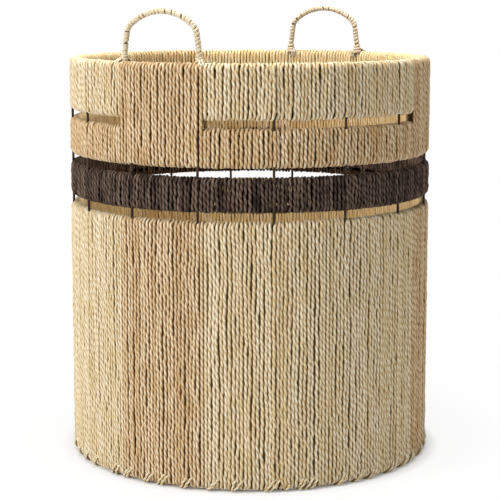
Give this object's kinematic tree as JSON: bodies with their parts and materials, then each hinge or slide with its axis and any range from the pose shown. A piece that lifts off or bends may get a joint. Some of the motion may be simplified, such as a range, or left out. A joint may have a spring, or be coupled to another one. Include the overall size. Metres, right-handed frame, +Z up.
{
  "type": "laundry hamper",
  "caption": "Open round laundry hamper: a wire frame wound with paper rope in cream, tan and dark bands, with a flat wound base and two upright loop handles.",
  "frame": {"origin": "centre of the flat underside, where the hamper stands on the floor", "axes": "+Z up along the axis of the round wall, -Y towards the front, where the tan panel and one handle are left of centre, +X to the right"},
  "size_m": [0.4426, 0.4426, 0.5443],
  "materials": {
    "cream_rope": "twisted two-ply paper rope, natural cream, matte, close wound",
    "tan_rope": "twisted two-ply paper rope, warm tan, matte, close wound",
    "dark_rope": "twisted two-ply paper rope dyed dark brown, matte, close wound",
    "handle_cord": "cream paper cord wound and bound round the handle wire, matte",
    "stitch_cord": "cream paper cord stitched round the foot, matte",
    "frame_wire": "bronze lacquered iron wire, satin"
  },
  "bodies": {
    "root": {"base_bar_left": "frame_wire", "base_bar_middle": "frame_wire", "base_bar_right": "frame_wire", "base_panel": "cream_rope", "base_ring": "frame_wire", "base_stitches": "stitch_cord", "body_cream_wall_front": "cream_rope", "body_cream_wall_left": "cream_rope", "body_cream_wall_right": "cream_rope", "body_tan_panel_front": "tan_rope", "body_tan_panel_rear": "tan_rope", "body_tan_panel_right": "tan_rope", "body_upper_ring": "frame_wire", "dark_band": "dark_rope", "dark_band_lower_ring": "frame_wire", "dark_band_upper_ring": "frame_wire", "foot_ring": "frame_wire", "handle_bindings_front": "handle_cord", "handle_bindings_rear": "handle_cord", "handle_cord_front": "handle_cord", "handle_cord_rear": "handle_cord", "handle_wire_front": "frame_wire", "handle_wire_rear": "frame_wire", "middle_band_lower_ring": "frame_wire", "middle_band_upper_ring": "frame_wire", "middle_tan_band_front": "tan_rope", "middle_tan_band_left": "tan_rope", "middle_tan_band_right": "tan_rope", "rim_ring": "frame_wire", "upper_band_lower_ring": "frame_wire", "upper_cream_band_front": "cream_rope", "upper_cream_band_left": "cream_rope", "upper_cream_band_right": "cream_rope", "upper_tan_panel_front": "tan_rope", "upper_tan_panel_rear": "tan_rope", "upper_tan_panel_right": "tan_rope", "upright_01": "frame_wire", "upright_02": "frame_wire", "upright_03": "frame_wire", "upright_04": "frame_wire", "upright_05": "frame_wire", "upright_06": "frame_wire", "upright_07": "frame_wire", "upright_08": "frame_wire", "upright_09": "frame_wire", "upright_10": "frame_wire", "upright_11": "frame_wire", "upright_12": "frame_wire", "upright_13": "frame_wire", "upright_14": "frame_wire", "upright_15": "frame_wire", "upright_16": "frame_wire"}
  },
  "joints": []
}
